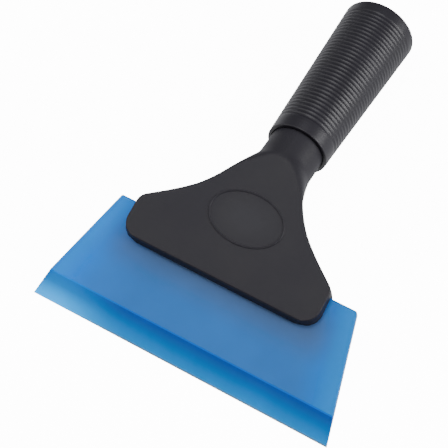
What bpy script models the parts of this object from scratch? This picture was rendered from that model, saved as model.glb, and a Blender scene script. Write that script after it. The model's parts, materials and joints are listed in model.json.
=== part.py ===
"""Hand squeegee applicator: a blade held in a two-part fan head, on a neck that carries a screw-on grip.

The tool lies on its working edge and on the rim of the grip's butt, front face up. Everything is modelled
in millimetres in the tool's own frame and then carried by two empties:

tool_frame  X along the blade, Y from the working edge towards the grip, Z out of the front face, with the
            blade's back face in the plane Z = 0. The empty tips this frame so that the tool rests on Z = 0.
grip_axis   a child of tool_frame at the grip's mouth, with its own Z along the grip, away from the head.
"""

import math

import bmesh
import bpy
from mathutils import Matrix, Vector

MM = 0.001
GAP = 0.3
HALF_GAP = 0.5 * GAP

# blade: a trapezoid with a long bevel down to the working edge, clamped a little off centre
BLADE_WIDTH = 150.0
BLADE_DEPTH = 57.7
BLADE_THICKNESS = 6.0
BLADE_SIDE_SPLAY = 0.26
BEVEL_DEPTH = 12.5
EDGE_LAND = 0.6
BLADE_CORNER = 0.7
BLADE_OFFSET = 2.2

# head: two shells either side of the parting plane
HEAD_FOOT = 41.6
HEAD_HALF_WIDTH = 48.9
HEAD_WALL = 5.2
FOOT_RADIUS = 8.0
SHOULDER_START = 57.2
SHOULDER_RADIUS = 6.0
SIDE_SLOPE = math.radians(36.6)
SIDE_REACH = 13.3
NECK_REACH = 21.7
EDGE_ROUND = 0.6
FOOT_FLARE = 1.75
PARTING_Z = 0.5 * BLADE_THICKNESS
PLATE_HALF = PARTING_Z + HEAD_WALL

# neck: leans back from the head and ends round, just inside the grip's mouth
GRIP_LEAN = math.radians(19.4)
BEND_AT = 87.2
BEND_TANGENT = 10.0
NECK_RUN = 30.1
NECK_RADIUS = 13.35
NECK_ROUND_AT = 106.3
ROUNDING_STARTS = 86.0
ROUNDING_ENDS = 105.0

# stem: the threaded end of the neck, measured along the grip's axis from its mouth
NECK_END = 2.0
CONE_START = 2.3
CONE_END = 9.0
CONE_RADIUS = (12.0, 11.0)
STEM_RADIUS = 9.0
STEM_START = 9.2
STEM_END = 31.0
STEM_TAPER = 1.0
STEM_BORE = 6.0
BORE_START = -14.0

THREAD_PITCH = 5.0
THREAD_START = 12.5
THREAD_TURNS = 3.0
THREAD_CREST = 10.6
THREAD_CREST_HALF = 0.6
THREAD_FLANK = 0.4375
THREAD_PLAY = 0.4
THREAD_SINK = 0.6
SPLIT_ANGLE = math.radians(2.0)

# grip: ribbed sleeve over a core that is threaded onto the stem
GRIP_LENGTH = 86.0
GRIP_MOUTH_RADIUS = 15.3
GRIP_BUTT_RADIUS = 18.65
MOUTH_CHAMFER = 0.5
BUTT_ROUND = 1.3
SLEEVE_BORE = (13.75, 16.2)
RING_SPAN = (3.6, 9.3)
RING_RADIUS = 13.25
CORE_START = 9.6
CORE_END = 82.0
CORE_THREAD_END = 36.0
CORE_BORE = 9.5
CORE_RELIEF = 11.2
SPIGOT_SEAT = 74.0
SPIGOT_BORE = 12.5
PLUG_RADIUS = 15.85
PLUG_FACE = 85.6
PLUG_WALL = 2.0

# fasteners and locating pegs between the shells
SCREW_PLACES = {
    "shell_screw_left": (-28.0, 66.5),
    "shell_screw_right": (28.0, 66.5),
    "shell_screw_neck": (0.0, 76.0),
}
SCREW_SHANK = 1.5
SCREW_TIP_Z = 7.4
SCREW_HEAD = 3.1
SCREW_HEAD_HEIGHT = 1.8
COUNTERBORE_DEPTH = 2.3
RECESS_SPAN = 3.4
RECESS_WIDTH = 0.9
RECESS_DEPTH = 1.0
PEG_PLACES = ((-15.0, 62.5), (15.0, 62.5))
PEG_RADIUS = 2.0
PEG_LENGTH = 3.0

# raised oval line on the front face
OVAL_CENTRE_Y = 71.6
OVAL_SEMI_AXES = (17.9, 12.1)
OVAL_LINE_WIDTH = 1.0
OVAL_HEIGHT = 0.35

ARC_STEPS = 6
ROUND_STEPS = 48
HOLE_STEPS = 20
THREAD_STEPS = 24


def clear_scene():
    for thing in list(bpy.data.objects):
        bpy.data.objects.remove(thing, do_unlink=True)


def material(name, colour, roughness, metallic=0.0):
    made = bpy.data.materials.new(name)
    made.use_nodes = True
    shader = made.node_tree.nodes["Principled BSDF"]
    shader.inputs["Base Color"].default_value = (*colour, 1.0)
    shader.inputs["Roughness"].default_value = roughness
    shader.inputs["Metallic"].default_value = metallic
    return made


def empty(name, parent=None, location=(0.0, 0.0, 0.0), turn_x=0.0):
    made = bpy.data.objects.new(name, None)
    bpy.context.collection.objects.link(made)
    made.parent = parent
    made.location = Vector(location) * MM
    made.rotation_euler = (turn_x, 0.0, 0.0)
    return made


def finish(bm, name, parent, finish_material=None):
    """Turn a bmesh in millimetres into an object in metres under its parent."""
    bmesh.ops.remove_doubles(bm, verts=bm.verts, dist=0.001)
    bmesh.ops.recalc_face_normals(bm, faces=bm.faces)
    bm.transform(Matrix.Scale(MM, 4))
    mesh = bpy.data.meshes.new(name)
    bm.to_mesh(mesh)
    bm.free()
    made = bpy.data.objects.new(name, mesh)
    bpy.context.collection.objects.link(made)
    made.parent = parent
    if finish_material is None:
        made.hide_render = True
        made.display_type = "WIRE"
    else:
        mesh.materials.append(finish_material)
        mesh.shade_smooth()
        mesh.set_sharp_from_angle(angle=math.radians(35.0))
    return made


def combine(target, helper, operation):
    step = target.modifiers.new(operation.lower(), "BOOLEAN")
    step.operation = operation
    step.solver = "EXACT"
    step.object = helper


def close_ends(bm):
    open_edges = [edge for edge in bm.edges if edge.is_boundary]
    bmesh.ops.holes_fill(bm, edges=open_edges, sides=0)


def add_wrap(bm, loops):
    """Lay a grid over closed section loops with equal counts and join its seams."""
    across = len(loops[0])
    along = len(loops) - 1
    grid = bmesh.ops.create_grid(bm, x_segments=across, y_segments=along, size=1.0)
    for vert in grid["verts"]:
        i = round(0.5 * (vert.co.x + 1.0) * across)
        j = round(0.5 * (vert.co.y + 1.0) * along)
        vert.co = loops[j][i % across]
    bmesh.ops.remove_doubles(bm, verts=bm.verts, dist=0.001)


def add_skin(bm, loops):
    add_wrap(bm, loops)
    close_ends(bm)


def add_turned(bm, profile, steps=ROUND_STEPS):
    """Spin an outline of (radius, height) points about Z. One that starts and ends on the axis stays open."""
    verts = [bm.verts.new((radius, 0.0, height)) for radius, height in profile]
    follows = verts[1:] + verts[:1]
    if profile[0][0] == 0.0:
        follows = verts[1:]
    edges = [bm.edges.new((a, b)) for a, b in zip(verts, follows)]
    bmesh.ops.spin(bm, geom=verts + edges, cent=(0, 0, 0), axis=(0, 0, 1), dvec=(0, 0, 0),
                   angle=math.tau, steps=steps, use_merge=True, use_duplicate=False)


def add_prism(bm, outline, low, high):
    """Extrude a flat outline of (x, y) points from height low to height high."""
    face = bm.faces.new([bm.verts.new((x, y, low)) for x, y in outline])
    grown = bmesh.ops.extrude_face_region(bm, geom=[face], use_keep_orig=True)
    top = [item for item in grown["geom"] if isinstance(item, bmesh.types.BMVert)]
    bmesh.ops.translate(bm, verts=top, vec=(0.0, 0.0, high - low))


def ring_points(radius, centre=(0.0, 0.0), steps=HOLE_STEPS):
    turns = [math.tau * i / steps for i in range(steps)]
    return [(centre[0] + radius * math.cos(t), centre[1] + radius * math.sin(t)) for t in turns]


def box_points(half_x, low_y, high_y):
    return [(-half_x, low_y), (half_x, low_y), (half_x, high_y), (-half_x, high_y)]


def smooth_step(value, low, high):
    t = min(1.0, max(0.0, (value - low) / (high - low)))
    return t * t * (3.0 - 2.0 * t)


# ---------------------------------------------------------------- head outline and spine

def side_curve(t):
    """The concave side from the shoulder to the neck, a cubic with its ends along the straight parts."""
    lift = 0.5 * math.pi - SIDE_SLOPE
    start = Vector((HEAD_HALF_WIDTH - SHOULDER_RADIUS * (1.0 - math.cos(lift)),
                    SHOULDER_START + SHOULDER_RADIUS * math.sin(lift)))
    end = Vector((NECK_RADIUS, NECK_ROUND_AT))
    pull_start = start + SIDE_REACH * Vector((-math.cos(SIDE_SLOPE), math.sin(SIDE_SLOPE)))
    pull_end = end - Vector((0.0, NECK_REACH))
    u = 1.0 - t
    return u ** 3 * start + 3 * u * u * t * pull_start + 3 * u * t * t * pull_end + t ** 3 * end


def head_half_width(y):
    if y < HEAD_FOOT + FOOT_RADIUS:
        below = HEAD_FOOT + FOOT_RADIUS - y
        return HEAD_HALF_WIDTH - FOOT_RADIUS + math.sqrt(max(0.0, FOOT_RADIUS ** 2 - below ** 2))
    if y < SHOULDER_START:
        return HEAD_HALF_WIDTH
    if y < side_curve(0.0).y:
        above = y - SHOULDER_START
        return HEAD_HALF_WIDTH - SHOULDER_RADIUS + math.sqrt(SHOULDER_RADIUS ** 2 - above ** 2)
    if y > NECK_ROUND_AT:
        return NECK_RADIUS
    low = 0.0
    high = 1.0
    for _ in range(40):
        middle = 0.5 * (low + high)
        if side_curve(middle).y < y:
            low = middle
        else:
            high = middle
    return side_curve(low).x


def spine(run):
    """Place, lean and section axis of the centre line at a run from the working edge."""
    bend_radius = BEND_TANGENT / math.tan(0.5 * GRIP_LEAN)
    bend_start = BEND_AT - BEND_TANGENT
    lean = min(GRIP_LEAN, max(0.0, (run - bend_start) / bend_radius))
    place = Vector((0.0, min(run, bend_start), PARTING_Z))
    place += bend_radius * Vector((0.0, math.sin(lean), math.cos(lean) - 1.0))
    past = run - bend_start - bend_radius * GRIP_LEAN
    if past > 0.0:
        place += past * Vector((0.0, math.cos(GRIP_LEAN), -math.sin(GRIP_LEAN)))
    return place, lean


def run_at_grip(distance):
    """Run along the spine of a point on the grip's axis, measured from the grip's mouth."""
    saved = 2.0 * BEND_TANGENT - BEND_TANGENT / math.tan(0.5 * GRIP_LEAN) * GRIP_LEAN
    return BEND_AT + NECK_RUN - saved + distance


def half_section(run, side, half_width, height, rounding, flare=0.0):
    """Half of a rounded section: a flat on the parting plane, flared walls, round corners and a face."""
    place, lean = spine(run)
    out = side * Vector((0.0, math.sin(lean), math.cos(lean)))
    base = height - rounding
    if base > HALF_GAP:
        corner = [(half_width + flare, HALF_GAP)]
        angles = [0.5 * math.pi * i / ARC_STEPS for i in range(ARC_STEPS + 1)]
    else:
        corner = []
        first = math.asin((HALF_GAP - base) / rounding)
        steps = ARC_STEPS + 1
        angles = [first + (0.5 * math.pi - first) * i / steps for i in range(steps + 1)]
    for angle in angles:
        corner.append((half_width - rounding + rounding * math.cos(angle),
                       base + rounding * math.sin(angle)))
    if corner[-1][0] < 0.01:
        corner[-1] = (0.01, corner[-1][1])
    mirrored = [(-x, z) for x, z in reversed(corner)]
    return [place + Vector((x, 0.0, 0.0)) + z * out for x, z in corner + mirrored]


def head_section(run, side):
    """Section of the fan and neck: a flat plate that turns round as it nears the grip."""
    place, lean = spine(run)
    half_width = head_half_width(place.y)
    if side > 0:
        flat_height = (PLATE_HALF + PARTING_Z - place.z) / math.cos(lean)
        height = min(flat_height, NECK_RADIUS)
    else:
        grown = smooth_step(run, BEND_AT - BEND_TANGENT, ROUNDING_ENDS)
        height = PLATE_HALF + (NECK_RADIUS - PLATE_HALF) * grown
    foot = min(EDGE_ROUND, max(0.0, EDGE_ROUND - (run - HEAD_FOOT)))
    height -= EDGE_ROUND - math.sqrt(EDGE_ROUND ** 2 - foot ** 2)
    flare = FOOT_FLARE * (1.0 - smooth_step(run, HEAD_FOOT, ROUNDING_STARTS)) ** 4
    below = HEAD_FOOT + FOOT_RADIUS - run
    if below > 0.0:
        flared = HEAD_HALF_WIDTH - FOOT_RADIUS + math.sqrt((FOOT_RADIUS + flare) ** 2 - below ** 2)
        flare = flared - half_width
    if run < HEAD_FOOT:
        height += (HALF_GAP - height) * (HEAD_FOOT - run) / FOOT_FLARE
    rounding = EDGE_ROUND + (height - EDGE_ROUND) * smooth_step(run, ROUNDING_STARTS, ROUNDING_ENDS)
    return half_section(run, side, half_width, height, min(rounding, height), flare)


def head_runs():
    """Runs at which the head is cut into sections, closer where its outline turns."""
    runs = [HEAD_FOOT - FOOT_FLARE * share for share in (0.66, 0.33)]
    runs += [HEAD_FOOT + EDGE_ROUND * (1.0 - math.cos(math.radians(a))) for a in (0, 45, 90)]
    runs += [HEAD_FOOT + FOOT_RADIUS * (1.0 - math.cos(math.radians(a))) for a in (15, 45, 60, 75, 90)]
    runs += [SHOULDER_START - 4.0]
    runs += [SHOULDER_START + SHOULDER_RADIUS * math.sin(math.radians(a)) for a in (0, 15, 30, 45)]
    runs.append(side_curve(0.0).y)
    first = side_curve(0.0).y + 2.4
    last = run_at_grip(-9.0)
    count = 19
    runs += [first + (last - first) * i / count for i in range(count + 1)]
    return sorted(runs)


def stem_sections(side):
    rings = ((NECK_END, NECK_RADIUS), (CONE_START, CONE_RADIUS[0]), (CONE_END, CONE_RADIUS[1]),
             (STEM_START, STEM_RADIUS), (STEM_END - STEM_TAPER, STEM_RADIUS),
             (STEM_END, STEM_RADIUS - STEM_TAPER))
    return [half_section(run_at_grip(at), side, radius, radius, radius) for at, radius in rings]


# ---------------------------------------------------------------- thread

def add_thread(bm, first_angle, last_angle, inner, play):
    """Sweep the thread's ridge, grown by the play, along its helix. Angle 0 is at THREAD_START."""
    sweep = last_angle - first_angle
    steps = max(2, round(THREAD_STEPS * sweep / math.tau))
    crest = THREAD_CREST + play
    crest_half = THREAD_CREST_HALF + play
    inner_half = crest_half + THREAD_FLANK * (crest - inner)
    height = THREAD_START + THREAD_PITCH * first_angle / math.tau
    corners = ((inner, height - inner_half), (crest, height - crest_half),
               (crest, height + crest_half), (inner, height + inner_half))
    turn = Matrix.Rotation(first_angle, 3, "Z")
    verts = [bm.verts.new(turn @ Vector((radius, 0.0, z))) for radius, z in corners]
    edges = [bm.edges.new((a, b)) for a, b in zip(verts, verts[1:] + verts[:1])]
    rise = THREAD_PITCH * sweep / math.tau / steps
    bmesh.ops.spin(bm, geom=verts + edges, cent=(0, 0, 0), axis=(0, 0, 1), dvec=(0, 0, rise),
                   angle=sweep, steps=steps, use_merge=False, use_duplicate=False)
    close_ends(bm)


def half_thread(side):
    """The ridges of one shell: one stretch of less than half a turn for each turn."""
    bm = bmesh.new()
    start = math.pi if side > 0 else 0.0
    while start < THREAD_TURNS * math.tau - 0.1:
        add_thread(bm, start + SPLIT_ANGLE, start + math.pi - SPLIT_ANGLE, STEM_RADIUS - THREAD_SINK, 0.0)
        start += math.tau
    return bm


# ---------------------------------------------------------------- pieces

def make_blade(tool, polyurethane):
    bm = bmesh.new()
    outline = ((0.0, 0.0), (BLADE_DEPTH, 0.0), (BLADE_DEPTH, BLADE_THICKNESS),
               (BEVEL_DEPTH, BLADE_THICKNESS), (0.0, EDGE_LAND))
    loops = []
    for sign in (-1, 1):
        ends = [BLADE_OFFSET + sign * (0.5 * BLADE_WIDTH - BLADE_SIDE_SPLAY * y) for y, z in outline]
        loops.append([Vector((x, y, z)) for x, (y, z) in zip(ends, outline)])
    add_skin(bm, loops)
    corners = [edge for edge in bm.edges
               if all(abs(vert.co.y - BLADE_DEPTH) < 0.01 for vert in edge.verts)
               and abs(edge.verts[0].co.x - edge.verts[1].co.x) < 0.01]
    bmesh.ops.bevel(bm, geom=corners, offset=BLADE_CORNER, segments=3, profile=0.5, affect="EDGES",
                    material=-1)
    return finish(bm, "blade", tool, polyurethane)


def make_front_shell(tool, grip, plastic):
    bm = bmesh.new()
    add_skin(bm, [head_section(run, 1) for run in head_runs()] + stem_sections(1))
    shell = finish(bm, "front_shell", tool, plastic)

    holes = bmesh.new()
    add_prism(holes, box_points(80.0, 30.0, BLADE_DEPTH + 0.5), -GAP, BLADE_THICKNESS + GAP)
    for place in SCREW_PLACES.values():
        add_prism(holes, ring_points(SCREW_SHANK + GAP, place), 0.0, SCREW_TIP_Z + 0.5)
    combine(shell, finish(holes, "front_hollows", tool), "DIFFERENCE")
    combine(shell, make_stem_bore(grip, "front_stem_bore"), "DIFFERENCE")

    pads = bmesh.new()
    for place in PEG_PLACES:
        add_prism(pads, ring_points(PEG_RADIUS, place), PARTING_Z - PEG_LENGTH, PARTING_Z + 1.0)
    add_oval_line(pads)
    combine(shell, finish(pads, "front_raised", tool), "UNION")
    combine(shell, finish(half_thread(1), "front_thread", grip), "UNION")
    return shell


def add_oval_line(bm):
    """A low ridge with leaning flanks around an ellipse, sunk into the front face."""
    half = 0.5 * OVAL_LINE_WIDTH
    face_z = PARTING_Z + PLATE_HALF
    ridge = ((-half, -0.3), (half, -0.3), (half, 0.0), (0.5 * half, OVAL_HEIGHT), (-0.5 * half, OVAL_HEIGHT),
             (-half, 0.0))
    sections = []
    for i in range(ROUND_STEPS + 1):
        t = math.tau * i / ROUND_STEPS
        section = []
        for offset, lift in ridge:
            x = (OVAL_SEMI_AXES[0] + offset) * math.cos(t)
            y = (OVAL_SEMI_AXES[1] + offset) * math.sin(t)
            section.append(Vector((x, OVAL_CENTRE_Y + y, face_z + lift)))
        sections.append(section)
    add_wrap(bm, sections)


def make_stem_bore(grip, name):
    bm = bmesh.new()
    add_prism(bm, ring_points(STEM_BORE), BORE_START, STEM_END + 1.0)
    return finish(bm, name, grip)


def make_rear_shell(tool, grip, plastic):
    bm = bmesh.new()
    add_skin(bm, [head_section(run, -1) for run in head_runs()] + stem_sections(-1))
    shell = finish(bm, "rear_shell", tool, plastic)

    back_z = PARTING_Z - PLATE_HALF
    holes = bmesh.new()
    add_prism(holes, box_points(80.0, 30.0, BLADE_DEPTH + 0.5), -GAP, BLADE_THICKNESS + GAP)
    for place in PEG_PLACES:
        add_prism(holes, ring_points(PEG_RADIUS + GAP, place), PARTING_Z - PEG_LENGTH - GAP, PARTING_Z + 1.0)
    for x, y in SCREW_PLACES.values():
        add_turned_at(holes, screw_hole_profile(back_z), (x, y, 0.0))
    combine(shell, finish(holes, "rear_hollows", tool), "DIFFERENCE")
    combine(shell, make_stem_bore(grip, "rear_stem_bore"), "DIFFERENCE")
    combine(shell, finish(half_thread(-1), "rear_thread", grip), "UNION")
    return shell


def screw_hole_profile(back_z):
    wide = SCREW_HEAD + GAP
    narrow = SCREW_SHANK + GAP
    seat = back_z + COUNTERBORE_DEPTH
    return ((0.0, back_z - 1.0), (wide, back_z - 1.0), (wide, seat), (narrow, seat),
            (narrow, PARTING_Z + 1.0), (0.0, PARTING_Z + 1.0))


def add_turned_at(bm, profile, place, steps=HOLE_STEPS):
    part = bmesh.new()
    add_turned(part, profile, steps)
    bmesh.ops.translate(part, verts=part.verts, vec=place)
    bmesh.ops.remove_doubles(part, verts=part.verts, dist=0.001)
    scratch = bpy.data.meshes.new("scratch")
    part.to_mesh(scratch)
    part.free()
    bm.from_mesh(scratch)
    bpy.data.meshes.remove(scratch)


def make_screw(tool, steel, name, place):
    """A pan-head screw with a cross recess, driven from the back."""
    seat = PARTING_Z - PLATE_HALF + COUNTERBORE_DEPTH - GAP
    low = seat - SCREW_HEAD_HEIGHT
    profile = ((0.0, low), (SCREW_HEAD - 0.6, low), (SCREW_HEAD - 0.15, low + 0.35), (SCREW_HEAD, low + 0.8),
               (SCREW_HEAD, seat), (SCREW_SHANK, seat), (SCREW_SHANK, SCREW_TIP_Z - 1.2), (0.4, SCREW_TIP_Z),
               (0.0, SCREW_TIP_Z))
    bm = bmesh.new()
    add_turned_at(bm, profile, (*place, 0.0))
    screw = finish(bm, name, tool, steel)
    a = 0.5 * RECESS_SPAN
    b = 0.5 * RECESS_WIDTH
    cross = ((-a, -b), (-b, -b), (-b, -a), (b, -a), (b, -b), (a, -b), (a, b), (b, b), (b, a), (-b, a), (-b, b),
             (-a, b))
    recess = bmesh.new()
    add_prism(recess, [(place[0] + dx, place[1] + dy) for dx, dy in cross], low - 1.0, low + RECESS_DEPTH)
    combine(screw, finish(recess, name + "_recess", tool), "DIFFERENCE")
    return screw


def sleeve_bore(at):
    return SLEEVE_BORE[0] + (SLEEVE_BORE[1] - SLEEVE_BORE[0]) * at / GRIP_LENGTH


def make_sleeve(grip, vinyl):
    round_z = GRIP_LENGTH - BUTT_ROUND
    round_r = GRIP_BUTT_RADIUS - BUTT_ROUND
    profile = [(sleeve_bore(0.0), 0.0), (GRIP_MOUTH_RADIUS - MOUTH_CHAMFER, 0.0),
               (GRIP_MOUTH_RADIUS, MOUTH_CHAMFER)]
    for i in range(5):
        turn = 0.5 * math.pi * i / 4
        profile.append((round_r + BUTT_ROUND * math.cos(turn), round_z + BUTT_ROUND * math.sin(turn)))
    profile.append((sleeve_bore(GRIP_LENGTH), GRIP_LENGTH))
    bm = bmesh.new()
    add_turned(bm, profile)
    return finish(bm, "grip_sleeve", grip, vinyl)


def make_core(grip, plastic):
    outer_start = sleeve_bore(CORE_START) - GAP
    outer_end = sleeve_bore(CORE_END) - GAP
    profile = ((CORE_BORE, CORE_START), (outer_start, CORE_START), (outer_end, CORE_END),
               (SPIGOT_BORE, CORE_END), (SPIGOT_BORE, SPIGOT_SEAT), (CORE_RELIEF, SPIGOT_SEAT),
               (CORE_RELIEF, CORE_THREAD_END), (CORE_BORE, CORE_THREAD_END))
    bm = bmesh.new()
    add_turned(bm, profile)
    core = finish(bm, "grip_core", grip, plastic)
    groove = bmesh.new()
    add_thread(groove, -math.tau, (THREAD_TURNS + 0.5) * math.tau, CORE_BORE - THREAD_SINK, THREAD_PLAY)
    combine(core, finish(groove, "core_groove", grip), "DIFFERENCE")
    return core


def make_clamp_ring(grip, acetal):
    slope = (CONE_RADIUS[1] - CONE_RADIUS[0]) / (CONE_END - CONE_START)
    inner = [CONE_RADIUS[0] + slope * (at - CONE_START) + GAP for at in RING_SPAN]
    profile = ((inner[0], RING_SPAN[0]), (RING_RADIUS, RING_SPAN[0]), (RING_RADIUS, RING_SPAN[1]),
               (inner[1], RING_SPAN[1]))
    bm = bmesh.new()
    add_turned(bm, profile)
    return finish(bm, "clamp_ring", grip, acetal)


def make_end_plug(grip, plastic):
    spigot = SPIGOT_BORE - GAP
    under = CORE_END + GAP
    profile = ((0.0, under), (spigot - PLUG_WALL, under), (spigot - PLUG_WALL, SPIGOT_SEAT + GAP),
               (spigot, SPIGOT_SEAT + GAP), (spigot, under), (PLUG_RADIUS, under),
               (PLUG_RADIUS, PLUG_FACE - 0.4), (PLUG_RADIUS - 0.4, PLUG_FACE), (0.0, PLUG_FACE))
    bm = bmesh.new()
    add_turned(bm, profile)
    return finish(bm, "end_plug", grip, plastic)


# ---------------------------------------------------------------- assembly

def resting_tilt():
    """Angle that brings the working edge and the butt's rounded rim onto one floor."""
    bend = Vector((BEND_AT, PARTING_Z))
    along = Vector((math.cos(GRIP_LEAN), -math.sin(GRIP_LEAN)))
    back = Vector((-math.sin(GRIP_LEAN), -math.cos(GRIP_LEAN)))
    rim = bend + along * (NECK_RUN + GRIP_LENGTH - BUTT_ROUND) + back * (GRIP_BUTT_RADIUS - BUTT_ROUND)
    return math.atan2(-rim.y, rim.x) + math.asin(BUTT_ROUND / rim.length)


def centre_over_origin(tool, pieces):
    """Move the tool so that its box stands on Z = 0, centred on the origin in X and Y."""
    bpy.context.view_layer.update()
    graph = bpy.context.evaluated_depsgraph_get()
    corners = []
    for piece in pieces:
        seen = piece.evaluated_get(graph)
        corners += [seen.matrix_world @ vert.co for vert in seen.to_mesh().vertices]
        seen.to_mesh_clear()
    low = Vector([min(corner[i] for corner in corners) for i in range(3)])
    high = Vector([max(corner[i] for corner in corners) for i in range(3)])
    tool.location -= Vector((0.5 * (low.x + high.x), 0.5 * (low.y + high.y), low.z))


def main():
    clear_scene()
    head_plastic = material("moulded_black_abs", (0.045, 0.043, 0.05), 0.55)
    core_plastic = material("moulded_grey_nylon", (0.10, 0.10, 0.105), 0.5)
    polyurethane = material("blue_polyurethane", (0.02, 0.30, 0.66), 0.25)
    vinyl = material("black_ribbed_vinyl", (0.035, 0.034, 0.038), 0.4)
    acetal = material("black_acetal", (0.02, 0.02, 0.022), 0.35)
    steel = material("zinc_plated_steel", (0.62, 0.62, 0.60), 0.35, 1.0)

    tool = empty("tool_frame", turn_x=resting_tilt())
    mouth = (0.0, BEND_AT + NECK_RUN * math.cos(GRIP_LEAN), PARTING_Z - NECK_RUN * math.sin(GRIP_LEAN))
    grip = empty("grip_axis", tool, mouth, -0.5 * math.pi - GRIP_LEAN)

    pieces = [make_front_shell(tool, grip, head_plastic),
              make_rear_shell(tool, grip, head_plastic),
              make_blade(tool, polyurethane),
              make_clamp_ring(grip, acetal),
              make_core(grip, core_plastic),
              make_sleeve(grip, vinyl),
              make_end_plug(grip, head_plastic)]
    pieces += [make_screw(tool, steel, name, place) for name, place in SCREW_PLACES.items()]
    centre_over_origin(tool, pieces)


main()
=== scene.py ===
# %% [markdown]
# # Hand squeegee applicator
#
# This tool presses vinyl film and window film flat. A wide blade of blue polyurethane sits in a fan-shaped
# black head, and a ribbed grip screws onto the neck behind it.
# The mechanical model already holds every part at its true place. This lesson dresses those parts: each
# visible one is modelled again with fine edges, and each surface gets the finish of its real material.
# Nothing of the mechanism is moved, so the looks follow the joints.

import json
import math

import bmesh
import bpy
from mathutils import Matrix, Vector


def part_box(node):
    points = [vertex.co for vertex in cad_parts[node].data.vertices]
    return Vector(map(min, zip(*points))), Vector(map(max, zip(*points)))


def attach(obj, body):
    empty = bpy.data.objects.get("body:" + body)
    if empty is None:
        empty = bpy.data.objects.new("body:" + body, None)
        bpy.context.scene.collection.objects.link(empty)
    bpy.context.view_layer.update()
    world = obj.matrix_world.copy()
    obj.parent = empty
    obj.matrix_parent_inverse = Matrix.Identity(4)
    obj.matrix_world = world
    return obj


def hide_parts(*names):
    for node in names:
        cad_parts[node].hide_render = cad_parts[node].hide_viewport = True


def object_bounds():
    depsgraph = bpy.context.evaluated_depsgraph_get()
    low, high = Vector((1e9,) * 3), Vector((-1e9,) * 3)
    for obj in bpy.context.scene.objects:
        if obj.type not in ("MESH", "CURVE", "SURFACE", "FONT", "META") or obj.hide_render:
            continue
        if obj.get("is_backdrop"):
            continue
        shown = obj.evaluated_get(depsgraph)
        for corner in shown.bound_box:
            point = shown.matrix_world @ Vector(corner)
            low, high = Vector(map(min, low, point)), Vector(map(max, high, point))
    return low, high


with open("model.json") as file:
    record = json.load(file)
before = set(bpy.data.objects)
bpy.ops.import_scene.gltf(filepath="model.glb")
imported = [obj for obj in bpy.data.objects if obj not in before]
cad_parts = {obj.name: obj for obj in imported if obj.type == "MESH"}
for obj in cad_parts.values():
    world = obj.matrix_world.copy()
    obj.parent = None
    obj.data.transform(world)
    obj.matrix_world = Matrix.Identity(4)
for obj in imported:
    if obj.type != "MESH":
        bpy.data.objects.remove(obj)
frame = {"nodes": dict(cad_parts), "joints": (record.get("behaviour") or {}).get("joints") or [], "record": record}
frame_low, frame_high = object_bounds()
record = frame["record"]
print("parts:", sorted(frame["nodes"]))

# %% [markdown]
# ## Two frames to draw in
#
# The tool lies tipped: its working edge and the rim of its butt touch the table. Drawing is easier in the
# tool's own frame, with X along the blade, Y from the working edge to the grip and Z out of the front face,
# in millimetres. The tilt comes from the flat back of the head, and the origin from the blade's lowest edge.
# The grip has a frame of its own, with Z along the thread's axis and the origin at the grip's mouth.

# %% Measure the two frames
MM = 0.001
EDGE_LAND = 0.6

mounts = {mount["name"]: mount for mount in record["mounts"]}
joints = {joint["name"]: joint for joint in frame["joints"]}
face_normal = -Vector(mounts["head_back"]["axis"])
thread_axis = Vector(joints["grip_turn"]["axis"])
tilt = math.atan2(-face_normal.y, face_normal.z)
grip_turn = math.atan2(-thread_axis.y, thread_axis.z)
lean = tilt - 0.5 * math.pi - grip_turn

blade_low, blade_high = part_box("blade")
shell_low, shell_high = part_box("front_shell")
tool_origin = Vector((0.5 * (shell_low.x + shell_high.x), blade_low.y + EDGE_LAND * MM * math.sin(tilt),
                      blade_low.z))
grip_origin = Vector(joints["grip_turn"]["pos_m"])
tool_frame = Matrix.Translation(tool_origin) @ Matrix.Rotation(tilt, 4, "X") @ Matrix.Scale(MM, 4)
grip_frame = Matrix.Translation(grip_origin) @ Matrix.Rotation(grip_turn, 4, "X") @ Matrix.Scale(MM, 4)
mouth = tool_frame.inverted() @ grip_origin
print(f"tilt {math.degrees(tilt):.2f} deg, neck leans back {math.degrees(lean):.2f} deg")
print(f"grip mouth in the tool's frame: {mouth.y:.2f}, {mouth.z:.2f} mm")

# %% [markdown]
# ## Small helpers
#
# A shape is drawn as a bmesh in millimetres, in one of the two frames. `add_piece` carries it to its place
# and hands it to the body that it moves with. Most shapes here are either lofts, made by laying a grid over
# a row of closed sections, or turned shapes, made by spinning an outline as a lathe would.
# Slots, counterbores and the screw thread are cut or added as solids, and the result is kept as one mesh.

# %% Helpers for shapes
def add_wrap(bm, loops, closed_ends=True):
    """Lay a grid over closed section loops with equal counts and join its seam."""
    across = len(loops[0])
    along = len(loops) - 1
    grid = bmesh.ops.create_grid(bm, x_segments=across, y_segments=along, size=1.0)
    for vert in grid["verts"]:
        i = round(0.5 * (vert.co.x + 1.0) * across)
        j = round(0.5 * (vert.co.y + 1.0) * along)
        vert.co = loops[j][i % across]
    bmesh.ops.remove_doubles(bm, verts=bm.verts, dist=0.0005)
    if closed_ends:
        bmesh.ops.holes_fill(bm, edges=[edge for edge in bm.edges if edge.is_boundary], sides=0)


def add_turned(bm, outline, steps=128, place=(0.0, 0.0, 0.0)):
    """Spin an outline of (radius, height) points about Z, and move it. One from the axis stays open."""
    verts = [bm.verts.new((radius, 0.0, height)) for radius, height in outline]
    follows = verts[1:] if outline[0][0] == 0.0 else verts[1:] + verts[:1]
    edges = [bm.edges.new(pair) for pair in zip(verts, follows)]
    bmesh.ops.spin(bm, geom=verts + edges, cent=(0, 0, 0), axis=(0, 0, 1), dvec=(0, 0, 0),
                   angle=math.tau, steps=steps, use_merge=True, use_duplicate=False)
    bmesh.ops.remove_doubles(bm, verts=bm.verts, dist=0.0005)
    bmesh.ops.translate(bm, verts=bm.verts, vec=place)


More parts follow.
